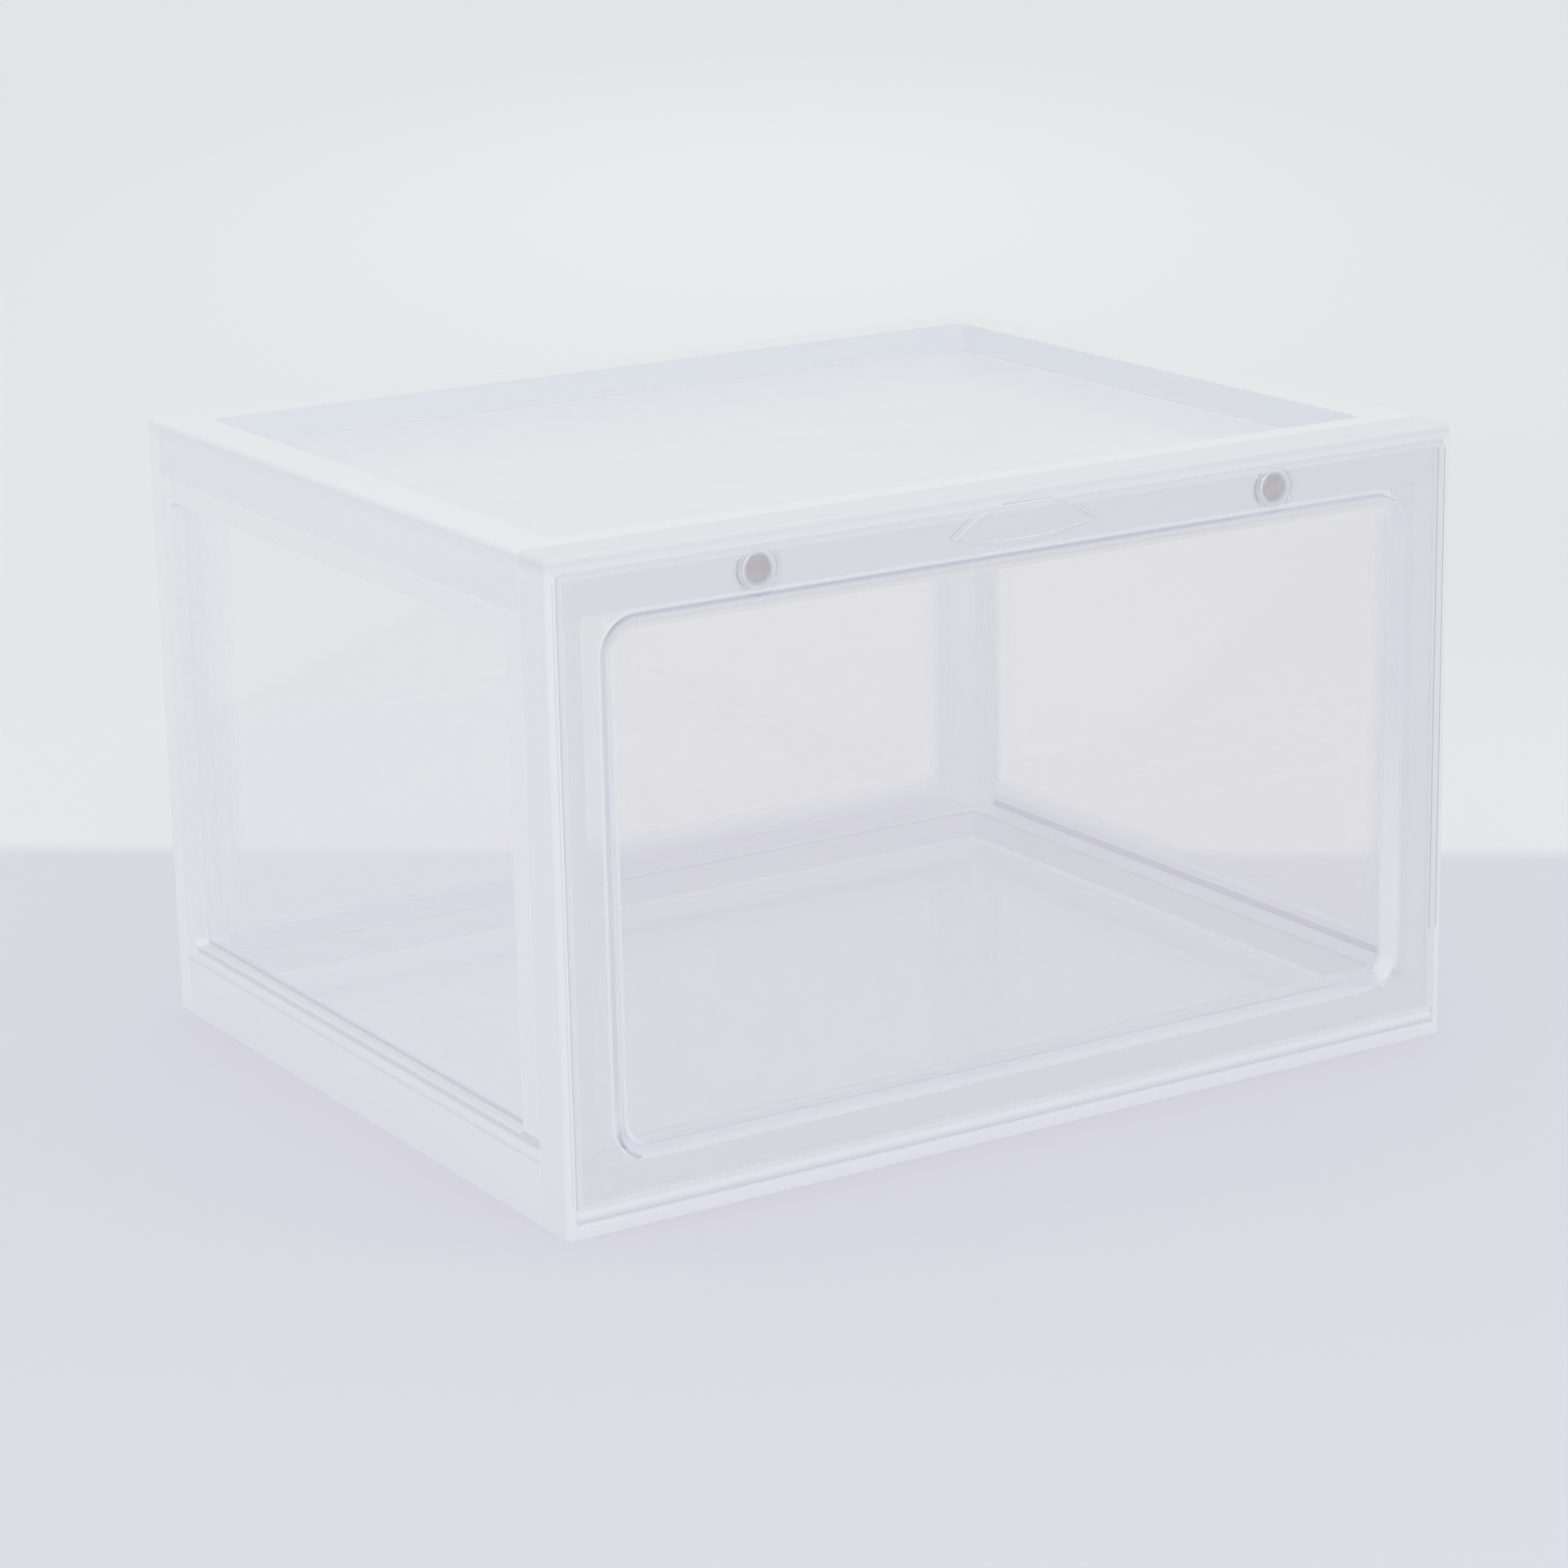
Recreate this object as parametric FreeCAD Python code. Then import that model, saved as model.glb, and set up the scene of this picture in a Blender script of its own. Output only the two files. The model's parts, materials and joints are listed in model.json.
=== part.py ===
import FreeCAD, Part
import math
import os

V = FreeCAD.Vector

# Clear drop-front stacking shoe box.
# X is the width, -Y is the front with the door, +Z is up, and z = 0 is the floor under the box.
# All sizes are in millimetres.

# Whole box
WIDTH = 355.0
DEPTH = 290.0
HEIGHT = 220.0
WALL = 2.0
EDGE_ROUND = 2.0

HALF_W = WIDTH / 2
FRONT_Y = -DEPTH / 2
BACK_Y = DEPTH / 2

# How the six panels share the box
FRONT_FRAME_DEPTH = 17.0
BACK_PANEL_DEPTH = 9.0
TOP_DEPTH = 20.0
BASE_HEIGHT = 22.0
SEAM = 0.15
PANEL_FRONT_Y = FRONT_Y + FRONT_FRAME_DEPTH
PANEL_BACK_Y = BACK_Y - BACK_PANEL_DEPTH
TOP_Z = HEIGHT - TOP_DEPTH

# Rims of the top tray and the stacking recess between them
TOP_SIDE_RIM = 17.5
TOP_FRONT_RIM = 10.0
TOP_BACK_RIM = 8.0
TOP_RECESS = 11.0
TOP_CORNER_R = 4.0

# Rails of the base tray and the floor between them
BASE_SIDE_RAIL = 13.5
BASE_FRONT_RAIL = 6.0
BASE_BACK_RAIL = 8.0
FLOOR_TOP_Z = 11.0
BASE_CORNER_R = 3.0

# Windows of the side and back panels
WINDOW_RECESS = 4.5
WINDOW_CORNER_R = 2.5
WINDOW_BOTTOM_Z = 28.0
WINDOW_TOP_Z = 192.0
SIDE_WINDOW_FRONT_Y = -117.5
SIDE_WINDOW_BACK_Y = 128.0
BACK_WINDOW_HALF_W = 158.0

# Laps behind the seams: tongues on the side panels, and lips up from the base
LAP_THICK = 2.0
LAP_PLAY = 0.15
TONGUE_UP = 8.0
TONGUE_FRONT = 6.0
LIP_UP = 3.2

# Front frame
OPENING_HALF_W = 164.0
OPENING_BOTTOM_Z = 21.0
OPENING_TOP_Z = 200.0
OPENING_CORNER_R = 1.5
DOOR_SEAT_Y = FRONT_Y + 4.4
SILL_LIP_Z = 4.0

# Door
DOOR_HALF_W = 173.7
DOOR_BOTTOM_Z = 9.3
DOOR_TOP_Z = 214.5
DOOR_PLATE = 2.4
DOOR_CORNER_R = 2.0
DOOR_GAP = 0.4
FLANGE_DEEP = 4.0
FLANGE_THICK = 2.0

# Pane of the door, set inwards with sloping sides
PANE_HALF_W = 157.2
PANE_BOTTOM_Z = 22.4
PANE_TOP_Z = 198.0
PANE_CORNER_R = 12.0
PANE_RECESS = 3.7
PANE_SLOPE_IN = 4.6
PANE_WALL = 2.2

# Hinge: a bead along the bottom of the door with a pin at each end
BEAD_R = 2.3
BEAD_Z = 6.6
BEAD_Y = FRONT_Y + BEAD_R
PIN_R = 1.5
PIN_CLEARANCE = 0.06
PIN_END_X = 175.9
SOCKET_END_X = 176.2
WEB_HALF_THICK = 0.9
BEAD_RELIEF = 0.4

# Finger scoop: the lens between two arcs
SCOOP_HALF_W = 27.0
SCOOP_TIP_Z = 206.0
SCOOP_LOW_Z = 203.3
SCOOP_HIGH_Z = 216.2
SCOOP_DEEP = 2.4
SCOOP_BACKING = 1.8

# Magnets
MAGNET_X = 101.4
MAGNET_Z = 207.0
MAGNET_R = 5.0
MAGNET_THICK = 2.4
MAGNET_PLAY = 0.05
MAGNET_SKIN = 1.4
BOSS_R = 7.0
BOSS_RING_R = 6.6
BOSS_RING_DEEP = 0.35
HOUSING_HALF_W = 7.0
HOUSING_HIGH_Z = 213.6
HOUSING_DEEP = 4.6
HOUSING_SKIN = 1.1

# Extra length given to cutting tools so that no face is left behind
OVER = 1.0


def block(x0, x1, y0, y1, z0, z1):
    return Part.makeBox(x1 - x0, y1 - y0, z1 - z0, V(x0, y0, z0))


def round_edges(shape, radius, keep):
    edges = [edge for edge in shape.Edges if keep(edge)]
    return shape.makeFillet(radius, edges)


def runs_along(edge, axis):
    """True for a straight edge parallel to the named axis."""
    if len(edge.Vertexes) != 2:
        return False
    step = edge.Vertexes[1].Point - edge.Vertexes[0].Point
    others = [abs(getattr(step, name)) for name in "xyz" if name != axis]
    return abs(getattr(step, axis)) > 1e-6 and max(others) < 1e-6


def rounded_block(x0, x1, y0, y1, z0, z1, radius, axis):
    """A block whose four edges along one axis are rounded."""
    return round_edges(block(x0, x1, y0, y1, z0, z1), radius, lambda e: runs_along(e, axis))


def rounded_outline(half_w, z0, z1, radius, y):
    """Closed wire of a rounded rectangle in the plane at y, centred on x = 0."""
    cx = half_w - radius
    corners = [(cx, z0 + radius, -90), (cx, z1 - radius, 0), (-cx, z1 - radius, 90), (-cx, z0 + radius, 180)]
    points = []
    for x, z, start in corners:
        trio = []
        for turn in (0, 45, 90):
            a = math.radians(start + turn)
            trio.append(V(x + radius * math.cos(a), y, z + radius * math.sin(a)))
        points.append(trio)
    edges = []
    for i, trio in enumerate(points):
        edges.append(Part.Arc(*trio).toShape())
        edges.append(Part.makeLine(trio[2], points[(i + 1) % 4][0]))
    return Part.Wire(edges)


def sloping_block(half_w, z0, z1, radius, y0, y1, inset, grow=0.0):
    """Rounded block that narrows by inset from y0 to y1, with its outline grown by grow."""
    near = rounded_outline(half_w + grow, z0 - grow, z1 + grow, radius + grow, y0)
    far_half = half_w + grow - inset
    far = rounded_outline(far_half, z0 - grow + inset, z1 + grow - inset, radius + grow - inset, y1)
    return Part.makeLoft([near, far], True, True)


def rod_x(radius, x0, x1, y, z):
    return Part.makeCylinder(radius, x1 - x0, V(x0, y, z), V(1, 0, 0))


def disc_y(radius, y0, y1, x, z):
    return Part.makeCylinder(radius, y1 - y0, V(x, y0, z), V(0, 1, 0))


def scoop_lens(y0, y1, grow=0.0):
    """The pointed lens of the finger scoop, between its lower and upper arcs."""
    left = V(-SCOOP_HALF_W - grow, y0, SCOOP_TIP_Z)
    right = V(SCOOP_HALF_W + grow, y0, SCOOP_TIP_Z)
    lower = Part.Arc(left, V(0, y0, SCOOP_LOW_Z - grow), right).toShape()
    upper = Part.Arc(right, V(0, y0, SCOOP_HIGH_Z + grow), left).toShape()
    return Part.Face(Part.Wire([lower, upper])).extrude(V(0, y1 - y0, 0))


def at(value, target):
    return abs(value - target) < 0.01


def outer_edges_at(y):
    """Picks a frame's outer edges at y and its two top edges that run back from them, but not the bottom one."""
    def keep(edge):
        c = edge.CenterOfMass
        if runs_along(edge, "y"):
            return at(c.z, HEIGHT)
        return at(c.y, y) and not at(c.z, 0)
    return keep


def base_panel():
    x = HALF_W
    y0 = PANEL_FRONT_Y + SEAM
    y1 = PANEL_BACK_Y - SEAM
    in_x = x - BASE_SIDE_RAIL
    in_y0 = PANEL_FRONT_Y + BASE_FRONT_RAIL
    in_y1 = PANEL_BACK_Y - BASE_BACK_RAIL
    tray = block(-x, x, y0, y1, 0, BASE_HEIGHT)
    hollow = block(-x + WALL, x - WALL, y0 + WALL, y1 - WALL, -OVER, BASE_HEIGHT - WALL)
    inner_wall = rounded_block(
        -in_x - WALL, in_x + WALL, in_y0 - WALL, in_y1 + WALL, 0, BASE_HEIGHT, BASE_CORNER_R + WALL, "z"
    )
    well = rounded_block(-in_x, in_x, in_y0, in_y1, FLOOR_TOP_Z, BASE_HEIGHT + OVER, BASE_CORNER_R, "z")
    under = rounded_block(-in_x, in_x, in_y0, in_y1, -OVER, FLOOR_TOP_Z - WALL, BASE_CORNER_R, "z")
    panel = tray.cut(hollow).fuse(inner_wall).cut(well).cut(under)
    lip_out = x - WALL - LAP_PLAY
    for side in (-1, 1):
        lip_x0, lip_x1 = sorted((side * lip_out, side * (lip_out - LAP_THICK)))
        lip = block(
            lip_x0, lip_x1, SIDE_WINDOW_FRONT_Y, SIDE_WINDOW_BACK_Y, BASE_HEIGHT - OVER, BASE_HEIGHT + LIP_UP
        )
        panel = panel.fuse(lip)
    return panel.removeSplitter()


def top_panel():
    x = HALF_W
    y0 = PANEL_FRONT_Y + SEAM
    y1 = PANEL_BACK_Y - SEAM
    in_x = x - TOP_SIDE_RIM
    in_y0 = PANEL_FRONT_Y + TOP_FRONT_RIM
    in_y1 = PANEL_BACK_Y - TOP_BACK_RIM
    plate_top = HEIGHT - TOP_RECESS
    plate_low = plate_top - WALL
    tray = block(-x, x, y0, y1, TOP_Z, HEIGHT)
    tray = round_edges(tray, EDGE_ROUND, lambda e: runs_along(e, "y") and at(e.CenterOfMass.z, HEIGHT))
    hollow = block(-x + WALL, x - WALL, y0 + WALL, y1 - WALL, TOP_Z - OVER, HEIGHT - WALL)
    inner_wall = rounded_block(
        -in_x - WALL, in_x + WALL, in_y0 - WALL, in_y1 + WALL, plate_low, HEIGHT, TOP_CORNER_R + WALL, "z"
    )
    well = rounded_block(-in_x, in_x, in_y0, in_y1, plate_top, HEIGHT + OVER, TOP_CORNER_R, "z")
    return tray.cut(hollow).fuse(inner_wall).cut(well).removeSplitter()


def left_side_panel():
    out_x = -HALF_W
    y0 = PANEL_FRONT_Y + SEAM
    y1 = PANEL_BACK_Y - SEAM
    z0 = BASE_HEIGHT + SEAM
    z1 = TOP_Z - SEAM
    plate = block(out_x, out_x + WALL, y0, y1, z0, z1)
    plateau = rounded_block(
        out_x + WALL, out_x + WINDOW_RECESS + WALL,
        SIDE_WINDOW_FRONT_Y - WALL, SIDE_WINDOW_BACK_Y + WALL,
        WINDOW_BOTTOM_Z - WALL, WINDOW_TOP_Z + WALL, WINDOW_CORNER_R + WALL, "x",
    )
    window = rounded_block(
        out_x - OVER, out_x + WINDOW_RECESS,
        SIDE_WINDOW_FRONT_Y, SIDE_WINDOW_BACK_Y,
        WINDOW_BOTTOM_Z, WINDOW_TOP_Z, WINDOW_CORNER_R, "x",
    )
    panel = plate.fuse(plateau)
    lap_x0 = out_x + WALL
    lap_x1 = lap_x0 + LAP_PLAY + LAP_THICK
    tongue_x0 = lap_x0 + LAP_PLAY
    up_root = block(lap_x0, lap_x1, SIDE_WINDOW_FRONT_Y, SIDE_WINDOW_BACK_Y, WINDOW_TOP_Z, z1)
    up_tongue = block(tongue_x0, lap_x1, SIDE_WINDOW_FRONT_Y, SIDE_WINDOW_BACK_Y, z1 - OVER, TOP_Z + TONGUE_UP)
    front_root = block(lap_x0, lap_x1, y0, SIDE_WINDOW_FRONT_Y, WINDOW_BOTTOM_Z, WINDOW_TOP_Z)
    front_tip = PANEL_FRONT_Y - TONGUE_FRONT
    front_tongue = block(tongue_x0, lap_x1, front_tip, y0 + OVER, WINDOW_BOTTOM_Z, WINDOW_TOP_Z)
    for lap in (up_root, up_tongue, front_root, front_tongue):
        panel = panel.fuse(lap)
    return panel.cut(window).removeSplitter()


def right_side_panel():
    return left_side_panel().mirror(V(0, 0, 0), V(1, 0, 0))


def back_panel():
    x = HALF_W
    y0 = PANEL_BACK_Y
    shell = block(-x, x, y0, BACK_Y, 0, HEIGHT)
    shell = round_edges(shell, EDGE_ROUND, outer_edges_at(BACK_Y))
    hollow = block(-x + WALL, x - WALL, y0 - OVER, BACK_Y - WALL, WALL, HEIGHT - WALL)
    plateau = rounded_block(
        -BACK_WINDOW_HALF_W - WALL, BACK_WINDOW_HALF_W + WALL,
        BACK_Y - WINDOW_RECESS - WALL, BACK_Y - WALL / 2,
        WINDOW_BOTTOM_Z - WALL, WINDOW_TOP_Z + WALL, WINDOW_CORNER_R + WALL, "y",
    )
    window = rounded_block(
        -BACK_WINDOW_HALF_W, BACK_WINDOW_HALF_W,
        BACK_Y - WINDOW_RECESS, BACK_Y + OVER,
        WINDOW_BOTTOM_Z, WINDOW_TOP_Z, WINDOW_CORNER_R, "y",
    )
    return shell.cut(hollow).fuse(plateau).cut(window).removeSplitter()


def front_frame():
    x = HALF_W
    back = PANEL_FRONT_Y
    door_x = DOOR_HALF_W + DOOR_GAP
    door_z = DOOR_TOP_Z + DOOR_GAP
    frame = block(-x, x, FRONT_Y, back, 0, HEIGHT)
    frame = round_edges(frame, EDGE_ROUND, outer_edges_at(FRONT_Y))
    hollow = block(-x + WALL, x - WALL, DOOR_SEAT_Y + WALL, back + OVER, WALL, HEIGHT - WALL)
    return_wall = rounded_block(
        -OPENING_HALF_W - WALL, OPENING_HALF_W + WALL, DOOR_SEAT_Y, back,
        OPENING_BOTTOM_Z - WALL, OPENING_TOP_Z + WALL, OPENING_CORNER_R + WALL, "y",
    )
    opening = rounded_block(
        -OPENING_HALF_W, OPENING_HALF_W, FRONT_Y - OVER, back + OVER,
        OPENING_BOTTOM_Z, OPENING_TOP_Z, OPENING_CORNER_R, "y",
    )
    frame = frame.cut(hollow).fuse(return_wall)
    for side in (-1, 1):
        x0 = side * MAGNET_X - HOUSING_HALF_W
        x1 = side * MAGNET_X + HOUSING_HALF_W
        deep = DOOR_SEAT_Y + HOUSING_DEEP
        housing = block(x0, x1, DOOR_SEAT_Y, deep, OPENING_TOP_Z + WALL / 2, HOUSING_HIGH_Z)
        pocket = disc_y(
            MAGNET_R + MAGNET_PLAY, DOOR_SEAT_Y + HOUSING_SKIN, deep + OVER, side * MAGNET_X, MAGNET_Z
        )
        frame = frame.fuse(housing).cut(pocket)
    seat = block(-door_x, door_x, FRONT_Y - OVER, DOOR_SEAT_Y, SILL_LIP_Z, door_z)
    bead_back = BEAD_Y + BEAD_R + BEAD_RELIEF
    bead_room = block(-door_x, door_x, DOOR_SEAT_Y - OVER, bead_back, SILL_LIP_Z, DOOR_BOTTOM_Z)
    frame = frame.cut(seat).cut(bead_room).cut(opening)
    notch = scoop_lens(FRONT_Y - OVER, FRONT_Y + SCOOP_DEEP, DOOR_GAP)
    frame = frame.cut(notch)
    for side in (-1, 1):
        x0, x1 = sorted((side * (door_x - OVER), side * SOCKET_END_X))
        frame = frame.cut(rod_x(PIN_R + PIN_CLEARANCE, x0, x1, BEAD_Y, BEAD_Z))
    return frame.removeSplitter()


def door():
    plate_back = FRONT_Y + DOOR_PLATE
    flange_back = FRONT_Y + FLANGE_DEEP
    body = rounded_block(
        -DOOR_HALF_W, DOOR_HALF_W, FRONT_Y, flange_back, DOOR_BOTTOM_Z, DOOR_TOP_Z, DOOR_CORNER_R, "y"
    )
    inner = block(
        -DOOR_HALF_W + FLANGE_THICK, DOOR_HALF_W - FLANGE_THICK, plate_back, flange_back + OVER,
        DOOR_BOTTOM_Z + FLANGE_THICK, DOOR_TOP_Z - FLANGE_THICK,
    )
    body = body.cut(inner)
    pane_back = FRONT_Y + PANE_RECESS + PANE_WALL
    slope = PANE_SLOPE_IN * (pane_back - plate_back) / PANE_RECESS
    body = body.fuse(
        sloping_block(
            PANE_HALF_W, PANE_BOTTOM_Z, PANE_TOP_Z, PANE_CORNER_R, plate_back - OVER, pane_back, slope, PANE_WALL
        )
    )
    body = body.fuse(
        scoop_lens(plate_back - OVER, FRONT_Y + SCOOP_DEEP + SCOOP_BACKING - OVER / 2, SCOOP_BACKING)
        .common(block(-HALF_W, HALF_W, FRONT_Y, flange_back, DOOR_BOTTOM_Z, DOOR_TOP_Z))
    )
    for side in (-1, 1):
        body = body.fuse(disc_y(BOSS_R, plate_back - OVER, flange_back, side * MAGNET_X, MAGNET_Z))
    body = body.cut(
        sloping_block(
            PANE_HALF_W, PANE_BOTTOM_Z, PANE_TOP_Z, PANE_CORNER_R, FRONT_Y, FRONT_Y + PANE_RECESS, PANE_SLOPE_IN
        )
    )
    body = body.cut(scoop_lens(FRONT_Y - OVER, FRONT_Y + SCOOP_DEEP))
    for side in (-1, 1):
        x = side * MAGNET_X
        pocket = disc_y(MAGNET_R + MAGNET_PLAY, FRONT_Y + MAGNET_SKIN, flange_back + OVER, x, MAGNET_Z)
        dish = disc_y(BOSS_RING_R, FRONT_Y - OVER, FRONT_Y + BOSS_RING_DEEP, x, MAGNET_Z)
        body = body.cut(pocket).cut(dish)
    bead = rod_x(BEAD_R, -DOOR_HALF_W, DOOR_HALF_W, BEAD_Y, BEAD_Z)
    pins = rod_x(PIN_R, -PIN_END_X, PIN_END_X, BEAD_Y, BEAD_Z)
    web = block(
        -DOOR_HALF_W, DOOR_HALF_W, BEAD_Y - WEB_HALF_THICK, BEAD_Y + WEB_HALF_THICK, BEAD_Z, DOOR_BOTTOM_Z + OVER
    )
    return body.fuse(bead).fuse(pins).fuse(web).removeSplitter()


def door_magnet(side):
    y0 = FRONT_Y + MAGNET_SKIN
    return disc_y(MAGNET_R, y0, y0 + MAGNET_THICK, side * MAGNET_X, MAGNET_Z)


def frame_magnet(side):
    y0 = DOOR_SEAT_Y + HOUSING_SKIN
    return disc_y(MAGNET_R, y0, y0 + MAGNET_THICK, side * MAGNET_X, MAGNET_Z)


def main():
    nodes = {
        "base_panel": base_panel(),
        "top_panel": top_panel(),
        "left_side_panel": left_side_panel(),
        "right_side_panel": right_side_panel(),
        "back_panel": back_panel(),
        "front_frame": front_frame(),
        "frame_magnet_left": frame_magnet(-1),
        "frame_magnet_right": frame_magnet(1),
        "door": door(),
        "door_magnet_left": door_magnet(-1),
        "door_magnet_right": door_magnet(1),
    }
    os.makedirs("parts", exist_ok=True)
    for name, shape in nodes.items():
        if len(shape.Solids) == 1:
            shape = shape.Solids[0]
        print(name, shape.ShapeType, shape.isValid(), len(shape.Solids), round(shape.Volume / 1000, 2))
        shape.exportStep("parts/" + name + ".step")


main()
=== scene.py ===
import json
import math

import bpy
import bmesh
from mathutils import Matrix, Vector


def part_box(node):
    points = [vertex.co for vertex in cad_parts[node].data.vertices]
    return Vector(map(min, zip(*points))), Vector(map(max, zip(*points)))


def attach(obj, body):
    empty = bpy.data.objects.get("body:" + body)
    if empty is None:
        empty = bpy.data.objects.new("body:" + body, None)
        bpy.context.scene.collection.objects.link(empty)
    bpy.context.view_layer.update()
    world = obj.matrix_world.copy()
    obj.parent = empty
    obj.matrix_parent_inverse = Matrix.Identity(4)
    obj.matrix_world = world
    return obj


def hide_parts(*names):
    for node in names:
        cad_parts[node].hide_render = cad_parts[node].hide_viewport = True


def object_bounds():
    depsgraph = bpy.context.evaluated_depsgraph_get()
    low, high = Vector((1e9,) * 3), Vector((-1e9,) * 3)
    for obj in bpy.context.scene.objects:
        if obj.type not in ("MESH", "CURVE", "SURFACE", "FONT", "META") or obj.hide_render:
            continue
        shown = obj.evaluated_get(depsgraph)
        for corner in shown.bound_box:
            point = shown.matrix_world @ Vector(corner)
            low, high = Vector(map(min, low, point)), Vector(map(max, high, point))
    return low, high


# Looks of the clear drop-front shoe box. Everything is in metres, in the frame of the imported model.

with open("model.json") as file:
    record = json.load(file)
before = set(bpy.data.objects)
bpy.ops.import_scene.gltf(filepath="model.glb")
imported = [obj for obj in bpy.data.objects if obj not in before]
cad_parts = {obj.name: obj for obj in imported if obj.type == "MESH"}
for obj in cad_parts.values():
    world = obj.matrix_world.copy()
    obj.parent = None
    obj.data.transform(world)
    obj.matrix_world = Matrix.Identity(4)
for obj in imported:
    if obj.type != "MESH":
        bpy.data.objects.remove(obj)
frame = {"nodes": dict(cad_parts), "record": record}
CAD_LO, CAD_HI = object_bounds()
DOOR_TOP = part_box("door")[1].z
MM = 0.001

# Camera: where it looks, from which side, and how long its lens is on a 36 mm sensor
AIM = Vector((0.0089, 0.0213, 0.0820))
AZIMUTH = math.radians(-31.77)
ELEVATION = math.radians(15.53)
ROLL = math.radians(-1.19)
DISTANCE = 1.6144
SENSOR_MM = 36.0
LENS_MM = 102.5
FAR_END = 50.0

# Studio floor: lavender in front, and pale beyond a line across it. The glow and the shade are
# placed on the pale part, across and along the camera's view.
FLOOR_RADIUS = 9.0
FLOOR_SEGMENTS = 96
FLOOR_ROUGHNESS = 0.9
FLOOR_COLOUR = (0.765, 0.760, 0.825)
FLOOR_CLOUD = dict(scale=1.2, detail=2.0, roughness=0.5)
FLOOR_CLOUD_SHADE = 0.99
SWEEP_DIRECTION = Vector((0.597, 0.802, 0.0))
SWEEP_START = 0.2145
SWEEP_SOFTNESS = 0.012
WALL_COLOUR = (0.870, 0.870, 0.890)
WALL_GLOW_COLOUR = (0.925, 0.930, 0.955)
WALL_GLOW_PLACE = (0.0, 2.1)
WALL_GLOW_SIZE = (0.75, 1.5)
WALL_SHADE_COLOUR = (0.845, 0.845, 0.868)
WALL_SHADE_PLACE = (0.42, 0.70)
WALL_SHADE_SIZE = (0.30, 0.45)

# Studio light: soft surroundings that brighten between two heights of the sky, and one lamp
SKY_COLOUR = (0.99, 1.0, 1.0)
SKY_HEIGHTS = (0.30, 0.75)
SKY_STRENGTHS = (0.80, 0.92)
LAMP_PLACE = (-0.80, -1.65, 1.45)
LAMP_TARGET = (0, 0, 0.1)
LAMP_SIZE = (0.24, 0.24)
LAMP_POWER = 5.0
LAMP_COLOUR = (1.0, 0.99, 0.97)

# Clear plastic. Haze is the milky share of it: 0 is glass and 1 is milk.
PLASTIC_IOR = 1.50
CASE_TINT = (0.993, 0.994, 0.997)
# The lid's clear floor is darker and more lavender than the rest of the case: painted shade
SHADED_LID_TINT = (0.886, 0.885, 0.920)
BASE_TINT = (0.984, 0.998, 0.998)
DOOR_TINT = (0.970, 0.964, 0.959)
MILK = (0.928, 0.940, 0.950)
LAMP_TINT = (0.976, 0.971, 0.984)
CLEAR_ROUGH = 0.008
FRAME_ROUGH = 0.12
WINDOW_SOFT = 0.5 * MM
SKIN_DEPTH = 2.2 * MM
SKIN_HAZE = 0.88
NOISE_SPAN = (0.3, 0.7)
FLOW = dict(scale=7.0, detail=3.0, roughness=0.55, stretch=(1.0, 1.0, 2.5))
FLOW_HAZE = (0.96, 1.04)
FLOW_DEPTH = 0.3 * MM
FLOW_STRENGTH = 0.04
GRAIN = dict(scale=140.0, detail=2.0, roughness=0.6)
GRAIN_ROUGH = (0.9, 1.1)

# Plated magnets
PLATING_METALLIC = 0.4
PLATING_CLOUD = dict(scale=400.0, detail=3.0, roughness=0.6)
PLATING_COLOURS = ((0.89, 0.86, 0.86), (0.95, 0.92, 0.92))
SCRATCH = dict(scale=700.0, detail=2.0, roughness=0.7, stretch=(1.0, 1.0, 8.0))
SCRATCH_ROUGH = (0.30, 0.48)
SCRATCH_DEPTH = 0.02 * MM
SCRATCH_STRENGTH = 0.4

# Door: its plate, and the flange along the plate's edge
PLATE = 2.4 * MM
DOOR_HALF_W = 173.7 * MM
DOOR_BOTTOM = 9.3 * MM
FLANGE_EDGE = (-2.5 * MM, -2.1 * MM)
FLANGE_HAZE = 0.50
RIM_EDGE = (-0.5 * MM, -0.2 * MM)
RIM_HAZE = 0.93
SEAT_EDGE = (0.1 * MM, 0.3 * MM)
BACK_FACE = (CAD_LO.y + PLATE - 0.3 * MM, CAD_LO.y + PLATE - 0.1 * MM)

# Door's pane, and the step round it. Each pair is where a mask begins and ends.
PANE_HALF_W = 157.2 * MM
PANE_BOTTOM = 22.4 * MM
PANE_TOP = 198.0 * MM
PANE_CORNER = 12.0 * MM
STEP_SLOPE = 4.6 * MM
STEP_BACK_OUT = 2.2 * MM
STEP_SOFT = 0.2 * MM
STEP_HAZE = 0.55
STEP_LOW_HAZE = 0.06
STEP_BACK_HAZE = 0.95
# Lighter, warmer milk on the step along the top: painted light
LIT_TOP_STEP_MILK = (0.950, 0.955, 0.932)
LIP_HAZE = 0.85
LEFT_SHARE = 0.75
LOW_LEFT_SHARE = 0.3
# Milky white along the step's right side is a painted highlight, fading upwards to this share
UPPER_RIGHT_HIGHLIGHT_SHARE = 0.35
TOP_RISE = (PANE_TOP - PANE_CORNER, PANE_TOP - 4 * MM)
TOP_RIGHT_END = (PANE_HALF_W - 7 * MM, PANE_HALF_W - 3 * MM)
LEFT_SIDE = (-PANE_HALF_W + 4 * MM, -PANE_HALF_W + PANE_CORNER)
LEFT_FOOT = (PANE_BOTTOM, PANE_BOTTOM + 14 * MM)
LEFT_CORNER = (PANE_BOTTOM + 8 * MM, PANE_BOTTOM + 14 * MM)
# Where the painted highlight on the step's right side lies, across and in height
RIGHT_HIGHLIGHT_SIDE = (PANE_HALF_W - 9 * MM, PANE_HALF_W - 4 * MM)
RIGHT_HIGHLIGHT_HEIGHTS = (60 * MM, 130 * MM)

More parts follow.
